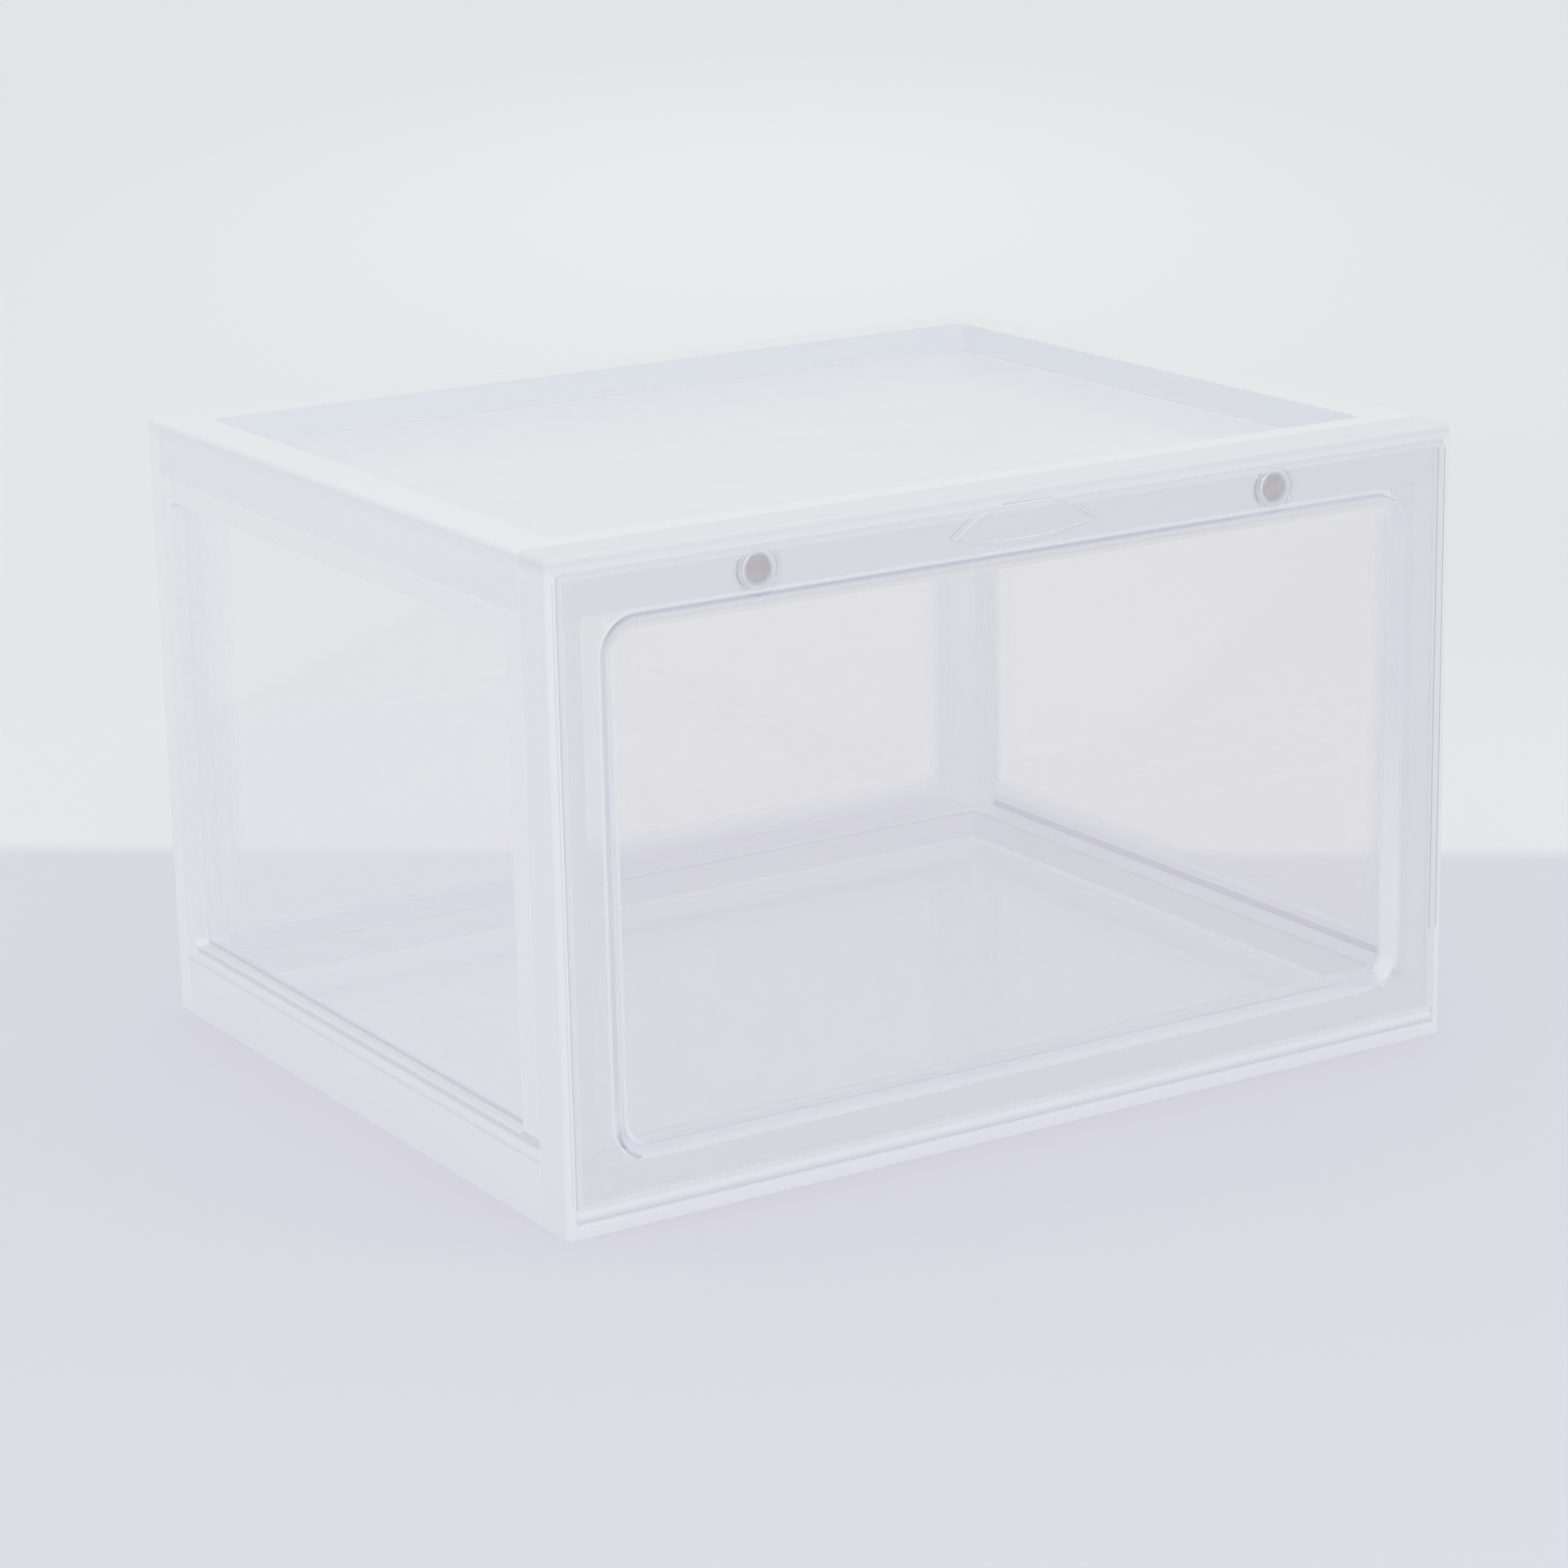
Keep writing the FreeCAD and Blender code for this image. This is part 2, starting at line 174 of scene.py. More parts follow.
# Lines on the step, as distances outside the pane's outline. The violet is painted: it stands in for
# light refracted at the step's edge.
# Painted colour of light refracted at the step's edge
REFRACTED_VIOLET = (0.74, 0.76, 0.95)
LINE_HAZE = 0.96
LINE_SOFT = 0.1 * MM
TOP_LINE = (-0.2 * MM, 0.75 * MM)
LEFT_LINES = ((-2.4 * MM, -1.9 * MM), (-1.3 * MM, -0.8 * MM))
CORNER_LINE = (-2.4 * MM, 0.3 * MM)
FRONT_LIP = (-1.3 * MM, -0.1 * MM)

# Bosses that hold the door's magnets: clear, with a ring on the boss wall painted white as a
# highlight
BOSS_REACH = 8.8 * MM
BOSS_HAZE = 0.06
RING = (5.3 * MM, 6.4 * MM)
RING_SOFT = 0.2 * MM
RING_HAZE = 0.45
# Painted highlight white, for the magnets' rings and for the finger scoop
PAINTED_HIGHLIGHT_WHITE = (0.985, 0.980, 0.975)

# Milky colours of the thick parts. Most are painted light and shade: lighter or darker copies of one
# milk, set by place for how light falls on each part. The seams are hairlines at the joints with
# painted shade in them
RIM_MILK = (0.898, 0.926, 0.943)
# Darker milk along the top edge of the lid and the back: painted shade
SHADED_RIM_CROWN = (0.852, 0.866, 0.895)
# Lighter, bluer milk on the walls of the lid's recess: painted light
LIT_RECESS_MILK = (0.905, 0.945, 0.955)
SEAT_MILK = (0.908, 0.920, 0.938)
# Greyer milk along the front frame's top, greyer than the lid's rim: painted shade
SHADED_SEAT_CROWN = (0.785, 0.797, 0.832)
# Darker milk on the front frame's low sill behind the door: painted shade
SHADED_SILL_MILK = (0.815, 0.830, 0.870)
# Darker milk on the base's rails: painted shade
SHADED_RAIL_MILK = (0.830, 0.835, 0.870)
# Darker milk on a low strip along the left panel: painted shade
SHADED_SKIRT_MILK = (0.790, 0.805, 0.840)
# Lighter milk for the right and back panels, which get less light inside the box: painted light
LIT_REAR_MILK = (0.945, 0.960, 0.968)
DOOR_MILK = (0.900, 0.912, 0.916)
# Darker milk along the door's head above the pane: painted shade
SHADED_HEAD_MILK = (0.878, 0.900, 0.902)
# Darker milk on the door's hinge bead: painted shade
SHADED_BEAD_MILK = (0.838, 0.848, 0.885)
# Colours of the seam hairlines, which carry painted shade: pale on the left and the top, darker on
# the right
PALE_SEAM = (0.780, 0.800, 0.830)
DARK_SEAM = (0.50, 0.54, 0.58)

# Places on the mouldings, from side to side (X), from front to back (Y) and in height (Z)
BASE_FLOOR = {"X": (-0.162, 0.162), "Y": (-0.120, 0.126)}
BASE_RAILS = {"Z": (0.0210, 0.0260)}
LID_FLOOR = {"X": (-0.160, 0.160), "Y": (-0.118, 0.128)}
LID_RECESS_WALL = {"X": (-0.1604, 0.1604), "Y": (-0.1184, 0.1284), "Z": (0.2094, 0.2198)}
CROWN = {"Z": (0.217, 0.228)}
LEFT_WINDOW = {"Y": (-0.1165, 0.127), "Z": (0.029, 0.191)}
LEFT_SKIRT = {"Z": (0.0258, 0.0295)}
LEFT_REAR_STILE = {"Y": (0.1265, 0.1460)}
RIGHT_WINDOW = {"Y": (-0.1125, 0.123), "Z": (0.033, 0.187)}
BACK_WINDOW = {"X": (-0.153, 0.153), "Z": (0.033, 0.187)}
BACK_LEFT_STILE = {"X": (-0.178, -0.1545), "Z": (0.0, 0.205)}
FRAME_OPENING = {"X": (-0.160, 0.160), "Z": (0.024, 0.198)}
FRAME_SILL = {"X": (-0.170, 0.170), "Y": (-0.140, -0.120), "Z": (0.0185, 0.0235)}
DOOR_PANE = {"X": (-PANE_HALF_W, PANE_HALF_W), "Z": (PANE_BOTTOM, PANE_TOP)}
DOOR_HEAD = {"Z": (0.1995, 0.2180)}
DOOR_BEAD = {"Z": (-0.001, 0.0093)}
DOOR_SCOOP = {"X": (-0.0285, 0.0285), "Y": (-0.1447, -0.1429), "Z": (0.2015, 0.2145)}

# Hairlines where the door meets the front frame, on the front face only. They are the joints drawn in
# the colour with painted shade in the gap: pale on the left and the top, darker on the right
SEAM_Y = (-0.1460, -0.1441)
SEAM_SOFT = 0.08 * MM
DOOR_LEFT_SEAM = {"X": (-0.17380, -0.17340), "Y": SEAM_Y, "Z": (0.0100, 0.2145)}
DOOR_RIGHT_SEAM = {"X": (0.17155, 0.17195), "Y": SEAM_Y, "Z": (0.0400, 0.2120)}
DOOR_TOP_SEAM = {"X": (-0.17380, 0.17380), "Y": SEAM_Y, "Z": (0.21420, 0.21460)}
FRAME_LEFT_SEAM = {"X": (-0.17545, -0.17505), "Y": SEAM_Y, "Z": (0.0120, 0.2125)}
FRAME_RIGHT_SEAM = {"X": (0.17445, 0.17485), "Y": SEAM_Y, "Z": (0.0400, 0.2120)}

# Mouldings: how round their edges are, and how their meshes are cleaned
EDGE_ROUNDS = {"door": 0.15 * MM, "front_frame": 0.2 * MM}
PANEL_EDGE_ROUND = 0.3 * MM
MAGNET_EDGE_ROUND = 0.35 * MM
EDGE_SEGMENTS = 2
SHARP_ANGLE = math.radians(35)
MERGE_DISTANCE = 0.001 * MM
FLAT_ANGLE = math.radians(1.0)
LARGE_FACES_LEAD = 100


def look(window, clear_haze, frame_haze, clear_rough=CLEAR_ROUGH, frame_rough=FRAME_ROUGH,
         soft=WINDOW_SOFT, milk=MILK, patches=(), seat=False):
    """How one moulding looks: clear in its window and milky round it. Each patch is a place, how soft
    its sides are, its colour, and the least haze in it; most patch colours are lighter or darker milk
    that paints light and shade by place. A seat holds the door's edge."""
    return dict(window=window, clear_haze=clear_haze, frame_haze=frame_haze, clear_rough=clear_rough,
                frame_rough=frame_rough, soft=soft, milk=milk, patches=patches, seat=seat)


# Colours of the clear plastic by part: the lid's is painted shade, the door's and the base's are
# tints
TINTS_AND_LID_SHADE = {"door": DOOR_TINT, "top_panel": SHADED_LID_TINT, "base_panel": BASE_TINT}
LOOKS = {
    "base_panel": look(
        BASE_FLOOR, 0.15, 0.58, 0.10, 0.13, soft=2 * MM,
        # Painted shade on the rails
        patches=[(BASE_RAILS, 0.6 * MM, SHADED_RAIL_MILK, 0.0)],
    ),
    "top_panel": look(
        LID_FLOOR, 0.62, 0.80, 0.12, milk=RIM_MILK,
        patches=[
            # Painted shade along the lid's top edge
            (CROWN, 3 * MM, SHADED_RIM_CROWN, 0.97),
            # Painted light on the recess walls
            (LID_RECESS_WALL, 0.2 * MM, LIT_RECESS_MILK, 0.88),
        ],
    ),
    "left_side_panel": look(
        LEFT_WINDOW, 0.10, 0.85, soft=1 * MM,
        patches=[
            # Painted shade on the low strip
            (LEFT_SKIRT, 0.3 * MM, SHADED_SKIRT_MILK, 0.0),
            (LEFT_REAR_STILE, 1 * MM, MILK, 0.93),
        ],
    ),
    # The right panel's milk is painted light
    "right_side_panel": look(RIGHT_WINDOW, 0.08, 0.52, soft=4.5 * MM, milk=LIT_REAR_MILK),
    # The back panel's milk is painted light
    "back_panel": look(
        BACK_WINDOW, 0.08, 0.52, soft=4.5 * MM, milk=LIT_REAR_MILK,
        patches=[
            # Painted shade along the back's top edge
            (CROWN, 3 * MM, SHADED_RIM_CROWN, 0.97),
            (BACK_LEFT_STILE, 2 * MM, LIT_REAR_MILK, 0.72),
        ],
    ),
    "front_frame": look(
        FRAME_OPENING, 0.10, 0.58, milk=SEAT_MILK, seat=True,
        patches=[
            # Painted shade along the frame's top
            (CROWN, 3 * MM, SHADED_SEAT_CROWN, 0.0),
            # Painted shade on the sill
            (FRAME_SILL, 1 * MM, SHADED_SILL_MILK, 0.0),
            # Seam hairlines with painted shade
            (FRAME_LEFT_SEAM, SEAM_SOFT, PALE_SEAM, 0.9),
            (FRAME_RIGHT_SEAM, SEAM_SOFT, DARK_SEAM, 0.9),
        ],
    ),
    "door": look(
        DOOR_PANE, 0.012, 0.26, 0.006, 0.02, milk=DOOR_MILK,
        patches=[
            # Painted shade on the bead
            (DOOR_BEAD, 0.2 * MM, SHADED_BEAD_MILK, 0.0),
            # Painted shade along the door's head
            (DOOR_HEAD, 1 * MM, SHADED_HEAD_MILK, 0.0),
            # The finger scoop lightened with painted highlight
            (DOOR_SCOOP, 0.1 * MM, PAINTED_HIGHLIGHT_WHITE, 0.7),
            # Seam hairlines with painted shade
            (DOOR_LEFT_SEAM, SEAM_SOFT, PALE_SEAM, 0.95),
            (DOOR_RIGHT_SEAM, SEAM_SOFT, DARK_SEAM, 0.95),
            (DOOR_TOP_SEAM, SEAM_SOFT, PALE_SEAM, 0.95),
        ],
    ),
}


class Shader:
    """A material's node tree, with short calls to add nodes and to join them."""

    def __init__(self, name):
        self.material = bpy.data.materials.new(name)
        self.material.use_nodes = True
        self.tree = self.material.node_tree
        self.tree.nodes.clear()
        self.output = self.add("ShaderNodeOutputMaterial")
        self.place = self.add("ShaderNodeTexCoord").outputs["Object"]

    def add(self, kind, **settings):
        node = self.tree.nodes.new(kind)
        for key, value in settings.items():
            setattr(node, key, value)
        return node

    def feed(self, socket, value):
        if isinstance(value, bpy.types.NodeSocket):
            self.tree.links.new(value, socket)
        else:
            socket.default_value = value

    def math(self, operation, a, b=0.0, clamp=False):
        node = self.add("ShaderNodeMath", operation=operation, use_clamp=clamp)
        for socket, value in zip(node.inputs, (a, b)):
            self.feed(socket, value)
        return node.outputs[0]

    def vector(self, operation, a, b=None):
        node = self.add("ShaderNodeVectorMath", operation=operation)
        self.feed(node.inputs[0], a)
        if b is not None:
            self.feed(node.inputs[1], b)
        return node.outputs["Value" if operation in ("LENGTH", "DOT_PRODUCT") else "Vector"]

    def axes(self):
        """X, Y and Z of the point being shaded."""
        node = self.add("ShaderNodeSeparateXYZ")
        self.feed(node.inputs[0], self.place)
        return node.outputs

    def noise(self, scale, detail, roughness, stretch=(1.0, 1.0, 1.0)):
        mapping = self.add("ShaderNodeMapping")
        self.feed(mapping.inputs["Vector"], self.place)
        mapping.inputs["Scale"].default_value = stretch
        node = self.add("ShaderNodeTexNoise")
        self.feed(node.inputs["Vector"], mapping.outputs[0])
        node.inputs["Scale"].default_value = scale
        node.inputs["Detail"].default_value = detail
        node.inputs["Roughness"].default_value = roughness
        return node.outputs["Fac"]

    def span(self, value, low, high, to_low, to_high, smooth=False):
        """The value's way from low to high, turned into a way from to_low to to_high."""
        interpolation = "SMOOTHSTEP" if smooth else "LINEAR"
        node = self.add("ShaderNodeMapRange", interpolation_type=interpolation)
        for socket, number in zip(node.inputs, (value, low, high, to_low, to_high)):
            self.feed(socket, number)
        return node.outputs[0]

    def band(self, value, low, high, soft):
        """1 where the value is between low and high, and 0 outside, with soft ends."""
        rise = self.span(value, low - soft, low + soft, 0.0, 1.0)
        fall = self.span(value, high - soft, high + soft, 1.0, 0.0)
        return self.math("MULTIPLY", rise, fall)

    def lift(self, haze, mask, least):
        """The haze, but no less than the mask's share of the least haze."""
        return self.math("MAXIMUM", haze, self.math("MULTIPLY", mask, least))

    def blend(self, factor, a, b):
        node = self.add("ShaderNodeMix", data_type="RGBA")
        self.feed(node.inputs["Factor"], factor)
        for name, colour in (("A", a), ("B", b)):
            socket = next(s for s in node.inputs if s.name == name and s.type == "RGBA")
            plain = not isinstance(colour, bpy.types.NodeSocket)
            self.feed(socket, (*colour, 1.0) if plain else colour)
        return next(s for s in node.outputs if s.type == "RGBA")

    def window(self, spans, soft):
        """1 inside a box given as {axis: (low, high)} and 0 outside it, with soft sides."""
        axes = self.axes()
        inside = 1.0
        for axis, (low, high) in spans.items():
            middle, half = (low + high) / 2, (high - low) / 2
            off = self.math("ABSOLUTE", self.math("SUBTRACT", axes[axis], middle))
            within = self.span(off, half - soft, half + soft, 1.0, 0.0)
            inside = self.math("MULTIPLY", inside, within)
        return inside

    def outline(self, half_w, z0, z1, radius):
        """Distance outside (+) or inside (-) a rounded rectangle in the XZ plane."""
        x, _, z = self.axes()
        off_x = self.math("SUBTRACT", self.math("ABSOLUTE", x), half_w - radius)
        from_middle = self.math("ABSOLUTE", self.math("SUBTRACT", z, (z0 + z1) / 2))
        off_z = self.math("SUBTRACT", from_middle, (z1 - z0) / 2 - radius)
        corner = self.add("ShaderNodeCombineXYZ")
        self.feed(corner.inputs[0], self.math("MAXIMUM", off_x, 0.0))
        self.feed(corner.inputs[1], self.math("MAXIMUM", off_z, 0.0))
        side = self.math("MINIMUM", self.math("MAXIMUM", off_x, off_z), 0.0)
        length = self.vector("LENGTH", corner.outputs[0])
        return self.math("SUBTRACT", self.math("ADD", length, side), radius)

    def rim_distance(self):
        """Distance outside (+) or inside (-) the outer edge of the door's plate."""
        x, _, z = self.axes()
        across = self.math("SUBTRACT", self.math("ABSOLUTE", x), DOOR_HALF_W)
        above = self.math("SUBTRACT", z, DOOR_TOP)
        below = self.math("SUBTRACT", DOOR_BOTTOM, z)
        return self.math("MAXIMUM", self.math("MAXIMUM", across, above), below)

    def blob(self, place, size):
        """1 at a place on the floor, given across and along the camera's view, and fading to 0
        one size away."""
        across = Vector((math.cos(AZIMUTH), math.sin(AZIMUTH), 0.0))
        along = Vector((-math.sin(AZIMUTH), math.cos(AZIMUTH), 0.0))
        parts = []
        for direction, middle, reach in zip((across, along), place, size):
            way = self.vector("DOT_PRODUCT", self.place, direction)
            scaled = self.math("DIVIDE", self.math("SUBTRACT", way, middle), reach)
            parts.append(self.math("MULTIPLY", scaled, scaled))
        distance = self.math("SQRT", self.math("ADD", *parts))
        return self.span(distance, 0.0, 1.0, 1.0, 0.0, smooth=True)

    def bump(self, height, distance, strength):
        node = self.add("ShaderNodeBump")
        node.inputs["Distance"].default_value = distance
        node.inputs["Strength"].default_value = strength
        self.feed(node.inputs["Height"], height)
        return node.outputs[0]

    def finish(self, surface):
        self.tree.links.new(surface, self.output.inputs["Surface"])
        return self.material


def let_lamps_through(s, surface, clear_colour):
    """The surface as the eye meets it, but open to shadow rays and diffuse light, so that what is
    inside stays lit."""
    path = s.add("ShaderNodeLightPath")
    passes = s.math("MAXIMUM", path.outputs["Is Shadow Ray"], path.outputs["Is Diffuse Ray"])
    through = s.add("ShaderNodeBsdfTransparent")
    through.inputs["Color"].default_value = (*clear_colour, 1.0)
    mix = s.add("ShaderNodeMixShader")
    s.feed(mix.inputs[0], passes)
    s.tree.links.new(surface, mix.inputs[1])
    s.tree.links.new(through.outputs[0], mix.inputs[2])
    return mix.outputs[0]


def clear_plastic(name, clear_colour, style, door=False):
    """Moulded clear plastic: glass with a milky share that is small in the window and bigger
    round it."""
    s = Shader(name)
    flow = s.noise(**FLOW)
    grain = s.noise(**GRAIN)
    in_window = s.window(style["window"], style["soft"])
    haze = s.span(in_window, 0.0, 1.0, style["frame_haze"], style["clear_haze"])
    haze = s.math("MULTIPLY", haze, s.span(flow, *NOISE_SPAN, *FLOW_HAZE))
    # In the lid's window the clear colour is painted shade
    colour = s.blend(in_window, style["milk"], clear_colour)
    if door:
        haze, colour = door_details(s, haze, colour)
    else:
        inside = s.window({
            "X": (CAD_LO.x + SKIN_DEPTH, CAD_HI.x - SKIN_DEPTH),
            "Y": (CAD_LO.y - SKIN_DEPTH, CAD_HI.y - SKIN_DEPTH),
        }, WINDOW_SOFT)
        haze = s.math("MAXIMUM", haze, s.span(inside, 0.0, 1.0, SKIN_HAZE, 0.0))
    # Patch colours paint light and shade by place, and the seams' hairlines
    for place, soft, shade, least_haze in style["patches"]:
        here = s.window(place, soft)
        colour = s.blend(here, colour, shade)
        haze = s.lift(haze, here, least_haze)
    if style["seat"]:
        seat = s.span(s.rim_distance(), *SEAT_EDGE, 0.0, RIM_HAZE)
        haze = s.math("MAXIMUM", haze, seat)
    rough = s.span(in_window, 0.0, 1.0, style["frame_rough"], style["clear_rough"])
    rough = s.math("MULTIPLY", rough, s.span(grain, *NOISE_SPAN, *GRAIN_ROUGH))
    body = s.add("ShaderNodeBsdfPrincipled")
    body.inputs["IOR"].default_value = PLASTIC_IOR
    s.feed(body.inputs["Base Color"], colour)
    s.feed(body.inputs["Roughness"], rough)
    s.feed(body.inputs["Transmission Weight"], s.math("SUBTRACT", 1.0, haze, clamp=True))
    s.feed(body.inputs["Normal"], s.bump(flow, FLOW_DEPTH, FLOW_STRENGTH))
    return s.finish(let_lamps_through(s, body.outputs[0], LAMP_TINT))


def door_details(s, haze, colour):
    """Adds the door's bosses with their painted highlight rings, the step with its painted highlight
    and painted violet lines round its pane, and its flange.
    """
    _, y, _ = s.axes()
    behind = s.span(y, *BACK_FACE, 0.0, 1.0)
    haze, colour = magnet_bosses(s, haze, colour)
    haze, colour = pane_step(s, haze, colour, behind)
    rim = s.rim_distance()
    haze = s.math("MAXIMUM", haze, s.span(rim, *FLANGE_EDGE, 0.0, FLANGE_HAZE))
    haze = s.math("MAXIMUM", haze, s.span(rim, *RIM_EDGE, 0.0, RIM_HAZE))
    return haze, colour


def magnet_bosses(s, haze, colour):
    """Clears the plastic round each of the door's magnets, and paints a white highlight ring on the
    boss wall there.
    """
    for name in ("door_magnet_left", "door_magnet_right"):
        low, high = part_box(name)
        offset = s.vector("SUBTRACT", s.place, (low + high) / 2)
        reach = s.vector("LENGTH", s.vector("MULTIPLY", offset, (1.0, 0.0, 1.0)))
        near = s.span(reach, BOSS_REACH - RING_SOFT, BOSS_REACH + RING_SOFT, 1.0, 0.0)
        extra = s.math("SUBTRACT", haze, BOSS_HAZE)
        haze = s.math("SUBTRACT", haze, s.math("MULTIPLY", near, extra))
        # Painted highlight ring on the boss wall
        ring = s.band(reach, *RING, RING_SOFT)
        haze = s.lift(haze, ring, RING_HAZE)
        colour = s.blend(ring, colour, PAINTED_HIGHLIGHT_WHITE)
    return haze, colour


def pane_step(s, haze, colour, behind):
    """The step round the pane: milky along the top and the left. Along the right it is made milky
    white as a painted highlight that fades upwards. On its back along the top, the left and round the
    lower left corner it has a violet line, painted to stand in for light refracted at the step's
    edge."""
    x, _, z = s.axes()
    off = s.outline(PANE_HALF_W, PANE_BOTTOM, PANE_TOP, PANE_CORNER)

    top = s.math("MULTIPLY", s.span(z, *TOP_RISE, 0.0, 1.0), s.span(x, *TOP_RIGHT_END, 1.0, 0.0))
    left_share = s.span(x, *LEFT_SIDE, LEFT_SHARE, 0.0)
    left = s.math("MULTIPLY", left_share, s.span(z, *LEFT_FOOT, LOW_LEFT_SHARE, 1.0))
    upper = s.math("MAXIMUM", top, left)
    low_corner = s.math(
        "MULTIPLY", s.span(x, *LEFT_SIDE, 1.0, 0.0), s.span(z, *LEFT_CORNER, 1.0, 0.0)
    )
    # Painted highlight: the step's right side made milky white, fading upwards
    right = s.math(
        "MULTIPLY", s.span(x, *RIGHT_HIGHLIGHT_SIDE, 0.0, 1.0),
        s.span(z, *RIGHT_HIGHLIGHT_HEIGHTS, 1.0, UPPER_RIGHT_HIGHLIGHT_SHARE),
    )

    # Painted violet lines of refracted light along the top, the left and round the lower left corner
    top_line = s.math("MULTIPLY", s.band(off, *TOP_LINE, LINE_SOFT), top)
    pair = s.math("MAXIMUM", *(s.band(off, *ends, LINE_SOFT) for ends in LEFT_LINES))
    left_line = s.math("MULTIPLY", pair, left)
    corner_line = s.math("MULTIPLY", s.band(off, *CORNER_LINE, STEP_SOFT), low_corner)
    lines = s.math("MAXIMUM", s.math("MAXIMUM", top_line, left_line), corner_line)
    line = s.math("MULTIPLY", lines, behind)

    front_step = s.band(off, -STEP_SLOPE, 0.0, STEP_SOFT)
    back_reach = s.band(off, -STEP_SLOPE, STEP_BACK_OUT + 0.3 * MM, STEP_SOFT)
    back_step = s.math("MULTIPLY", back_reach, behind)
    front_lip = s.math("MULTIPLY", s.band(off, *FRONT_LIP, LINE_SOFT), upper)
    # The front step: milky along the top and the left, and a painted highlight on the right
    milky_and_highlit_front = s.math("MULTIPLY", front_step, s.math("MAXIMUM", upper, right))
    right_highlight_back = s.math("MULTIPLY", back_step, right)
    back_haze = s.span(upper, 0.0, LEFT_SHARE, STEP_LOW_HAZE, STEP_BACK_HAZE)
    for mask, least in (
        (milky_and_highlit_front, STEP_HAZE),
        (right_highlight_back, STEP_HAZE),
        (front_lip, LIP_HAZE),
        (back_step, back_haze),
        (line, LINE_HAZE),
    ):
        haze = s.lift(haze, mask, least)

    step = s.math("MAXIMUM", front_step, back_step)
    colour = s.blend(step, colour, MILK)
    # Painted light on the top step
    colour = s.blend(s.math("MULTIPLY", step, top), colour, LIT_TOP_STEP_MILK)
    # Painted violet lines
    return haze, s.blend(line, colour, REFRACTED_VIOLET)


def magnet_metal():
    """Plated disc: satin grey with fine scratches."""
    s = Shader("magnet_plating")
    cloud = s.noise(**PLATING_CLOUD)
    scratch = s.noise(**SCRATCH)
    body = s.add("ShaderNodeBsdfPrincipled")
    body.inputs["Metallic"].default_value = PLATING_METALLIC
    s.feed(body.inputs["Base Color"], s.blend(cloud, *PLATING_COLOURS))
    s.feed(body.inputs["Roughness"], s.span(scratch, *NOISE_SPAN, *SCRATCH_ROUGH))
    s.feed(body.inputs["Normal"], s.bump(scratch, SCRATCH_DEPTH, SCRATCH_STRENGTH))
    return s.finish(body.outputs[0])


def studio_floor():
    """A pale lavender sheet that turns into the pale wall colour behind the box."""
    bm = bmesh.new()
    bmesh.ops.create_circle(bm, cap_ends=True, segments=FLOOR_SEGMENTS, radius=FLOOR_RADIUS)
    mesh = bpy.data.meshes.new("studio_floor")
    bm.to_mesh(mesh)
    bm.free()
    floor = bpy.data.objects.new("studio_floor", mesh)
    bpy.context.scene.collection.objects.link(floor)
    s = Shader("studio_sweep")
    along = s.vector("DOT_PRODUCT", s.place, SWEEP_DIRECTION)
    wall = s.span(
        along, SWEEP_START - SWEEP_SOFTNESS, SWEEP_START + SWEEP_SOFTNESS, 0.0, 1.0, smooth=True
    )
    glow = s.blob(WALL_GLOW_PLACE, WALL_GLOW_SIZE)
    shade = s.blob(WALL_SHADE_PLACE, WALL_SHADE_SIZE)
    pale = s.blend(glow, WALL_COLOUR, WALL_GLOW_COLOUR)
    pale = s.blend(shade, pale, WALL_SHADE_COLOUR)
    cloud = s.noise(**FLOOR_CLOUD)
    sheet = s.blend(cloud, FLOOR_COLOUR, tuple(c * FLOOR_CLOUD_SHADE for c in FLOOR_COLOUR))
    body = s.add("ShaderNodeBsdfPrincipled")
    body.inputs["Roughness"].default_value = FLOOR_ROUGHNESS
    body.inputs["Specular IOR Level"].default_value = 0.0
    s.feed(body.inputs["Base Color"], s.blend(wall, sheet, pale))
    floor.data.materials.append(s.finish(body.outputs[0]))


def studio_world():
    """Soft white surroundings, a little brighter overhead."""
    world = bpy.data.worlds.new("studio")
    bpy.context.scene.world = world
    world.use_nodes = True
    nodes = world.node_tree.nodes
    links = world.node_tree.links
    nodes.clear()
    out = nodes.new("ShaderNodeOutputWorld")
    background = nodes.new("ShaderNodeBackground")
    coord = nodes.new("ShaderNodeTexCoord")
    height = nodes.new("ShaderNodeVectorMath")
    height.operation = "DOT_PRODUCT"
    height.inputs[1].default_value = (0.0, 0.0, 1.0)
    ramp = nodes.new("ShaderNodeMapRange")
    ramp.interpolation_type = "SMOOTHSTEP"
    ramp.inputs["From Min"].default_value, ramp.inputs["From Max"].default_value = SKY_HEIGHTS
    ramp.inputs["To Min"].default_value, ramp.inputs["To Max"].default_value = SKY_STRENGTHS
    links.new(coord.outputs["Generated"], height.inputs[0])
    links.new(height.outputs["Value"], ramp.inputs["Value"])
    links.new(ramp.outputs[0], background.inputs["Strength"])
    background.inputs["Color"].default_value = (*SKY_COLOUR, 1.0)
    links.new(background.outputs[0], out.inputs["Surface"])


def studio_lamp():
    data = bpy.data.lights.new("lamp_above_camera", "AREA")
    data.shape = "RECTANGLE"
    data.size, data.size_y = LAMP_SIZE
    data.energy = LAMP_POWER
    data.color = LAMP_COLOUR
    light = bpy.data.objects.new("lamp_above_camera", data)
    bpy.context.scene.collection.objects.link(light)
    light.location = LAMP_PLACE
    light.rotation_mode = "QUATERNION"
    light.rotation_quaternion = (Vector(LAMP_TARGET) - Vector(LAMP_PLACE)).to_track_quat("-Z", "Y")


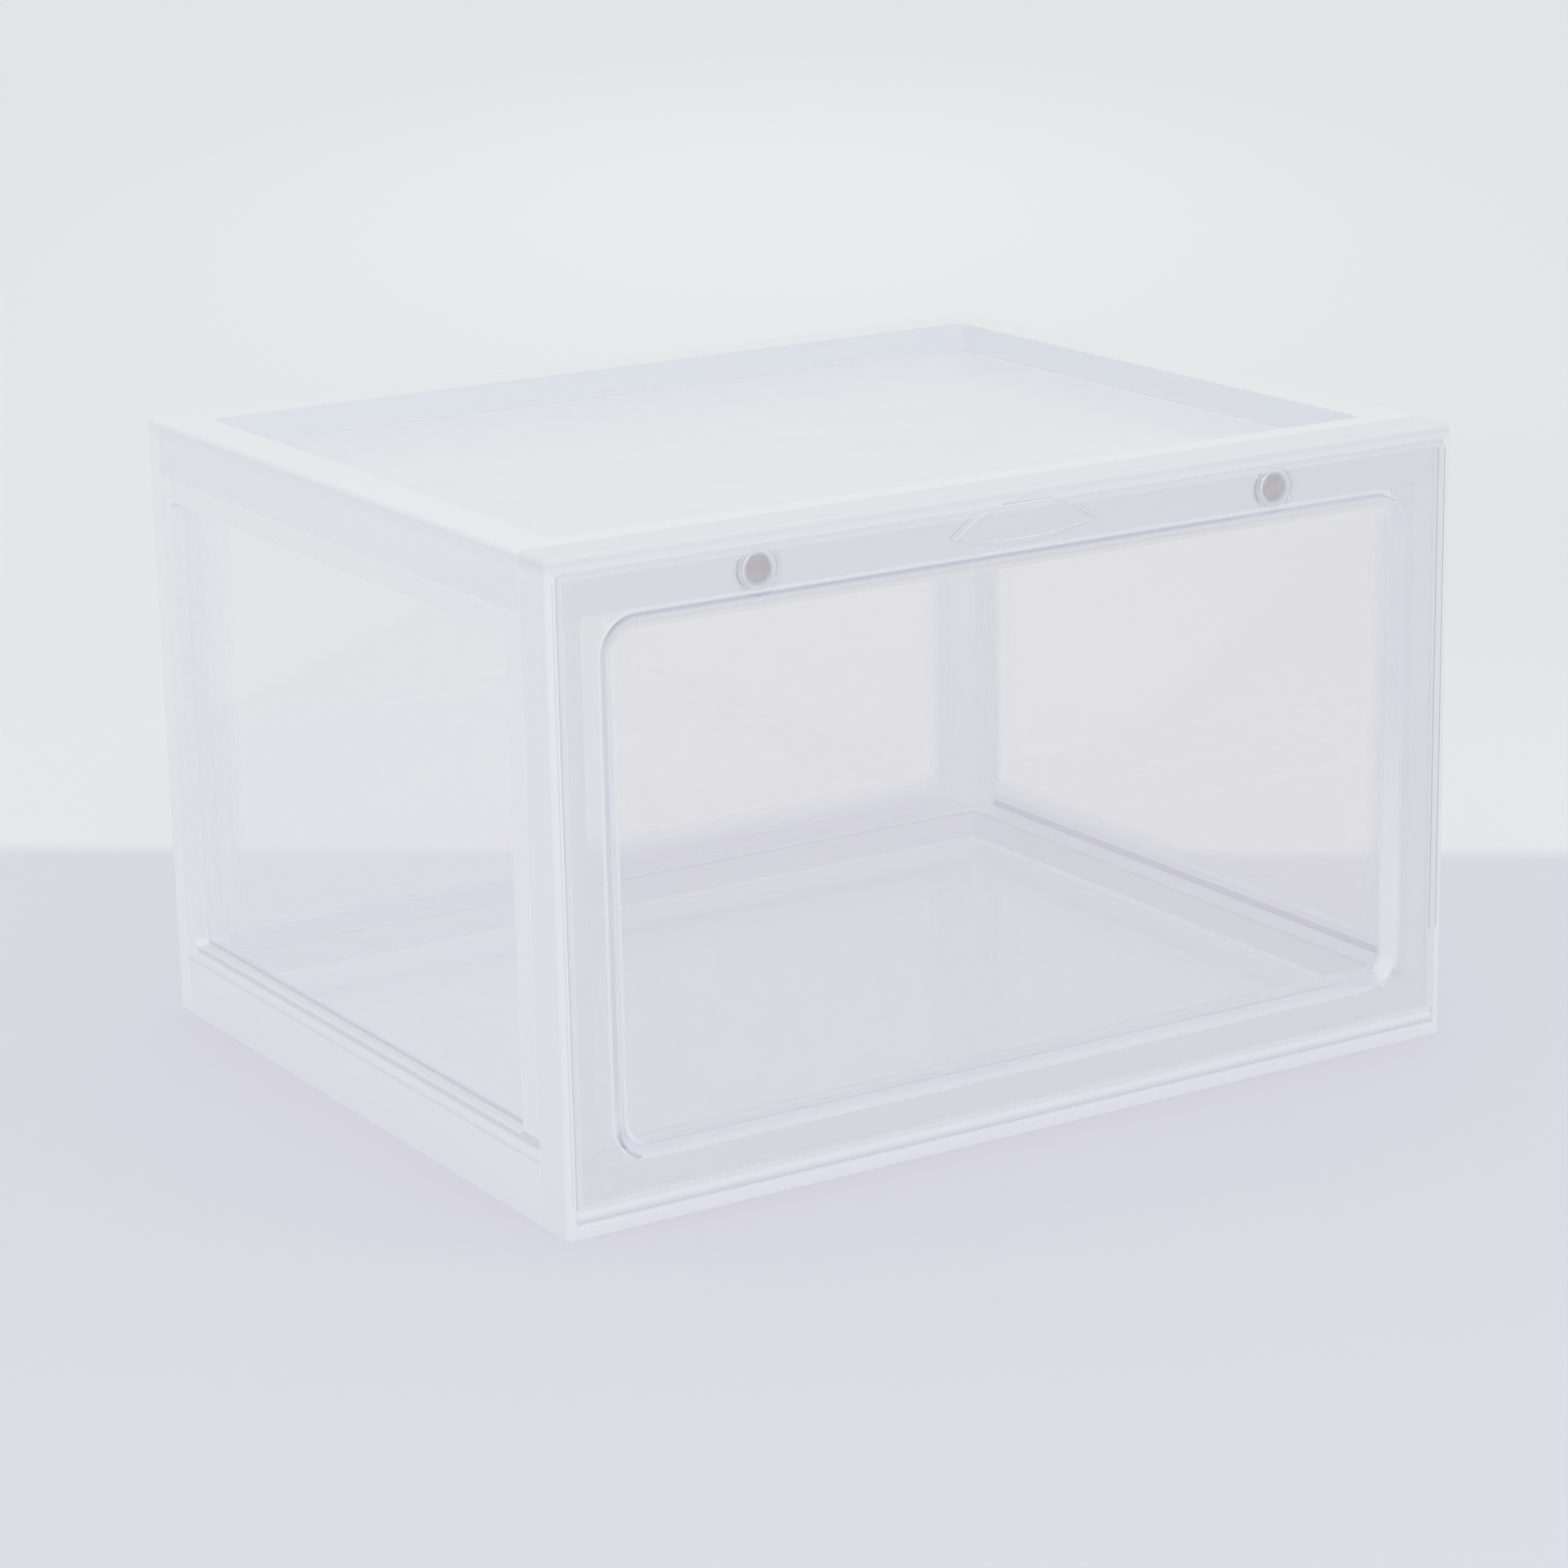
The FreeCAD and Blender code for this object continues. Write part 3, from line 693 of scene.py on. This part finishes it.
def camera():
    data = bpy.data.cameras.new("camera")
    data.sensor_width = SENSOR_MM
    data.lens = LENS_MM
    data.clip_end = FAR_END
    cam = bpy.data.objects.new("camera", data)
    bpy.context.scene.collection.objects.link(cam)
    back = Vector((
        math.sin(AZIMUTH) * math.cos(ELEVATION),
        -math.cos(AZIMUTH) * math.cos(ELEVATION),
        math.sin(ELEVATION),
    ))
    level = (-back).to_track_quat("-Z", "Y")
    cam.rotation_mode = "QUATERNION"
    cam.rotation_quaternion = level @ Matrix.Rotation(ROLL, 4, "Z").to_quaternion()
    cam.location = AIM + back * DISTANCE
    bpy.context.scene.camera = cam


def light_paths():
    """Plain colours, and enough bounces to see through every wall of the box."""
    scene = bpy.context.scene
    scene.view_settings.view_transform = "Standard"
    scene.cycles.max_bounces = 32
    scene.cycles.transmission_bounces = 32
    scene.cycles.glossy_bounces = 12
    scene.cycles.diffuse_bounces = 4
    scene.cycles.transparent_max_bounces = 64


def moulding(node_name, edge_round, finish):
    """A finished copy of a CAD node: whole flat faces and eased edges, as a mould leaves them."""
    source = frame["nodes"][node_name]
    mesh = bpy.data.meshes.new(node_name + "_raw")
    bm = bmesh.new()
    bm.from_mesh(source.data)
    bmesh.ops.remove_doubles(bm, verts=bm.verts, dist=MERGE_DISTANCE)
    bmesh.ops.dissolve_limit(bm, angle_limit=FLAT_ANGLE, verts=bm.verts, edges=bm.edges)
    for face in bm.faces:
        face.smooth = True
        face.material_index = 0
    bm.to_mesh(mesh)
    bm.free()
    raw = bpy.data.objects.new(node_name + "_raw", mesh)
    bpy.context.scene.collection.objects.link(raw)
    bevel = raw.modifiers.new("eased_edges", "BEVEL")
    bevel.width = edge_round
    bevel.segments = EDGE_SEGMENTS
    bevel.limit_method = "ANGLE"
    bevel.angle_limit = SHARP_ANGLE
    bevel.use_clamp_overlap = False
    normals = raw.modifiers.new("flat_faces_stay_flat", "WEIGHTED_NORMAL")
    normals.weight = LARGE_FACES_LEAD
    evaluated = raw.evaluated_get(bpy.context.evaluated_depsgraph_get())
    done = bpy.data.meshes.new_from_object(evaluated)
    done.name = node_name + "_moulding"
    bpy.data.objects.remove(raw)
    bpy.data.meshes.remove(mesh)
    piece = bpy.data.objects.new(node_name + "_moulding", done)
    bpy.context.scene.collection.objects.link(piece)
    done.materials.clear()
    done.materials.append(finish)
    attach(piece, body_of(node_name))
    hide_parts(node_name)


def body_of(node_name):
    bodies = frame["record"]["behaviour"]["bodies"]
    return next(body for body, members in bodies.items() if node_name in members)


magnet_plating = magnet_metal()
for node_name in frame["nodes"]:
    if "magnet" in node_name:
        moulding(node_name, MAGNET_EDGE_ROUND, magnet_plating)
        continue
    clear_colour = TINTS_AND_LID_SHADE.get(node_name, CASE_TINT)
    is_door = node_name == "door"
    plastic = clear_plastic(node_name + "_plastic", clear_colour, LOOKS[node_name], door=is_door)
    moulding(node_name, EDGE_ROUNDS.get(node_name, PANEL_EDGE_ROUND), plastic)

studio_floor()
studio_world()
studio_lamp()
camera()
light_paths()
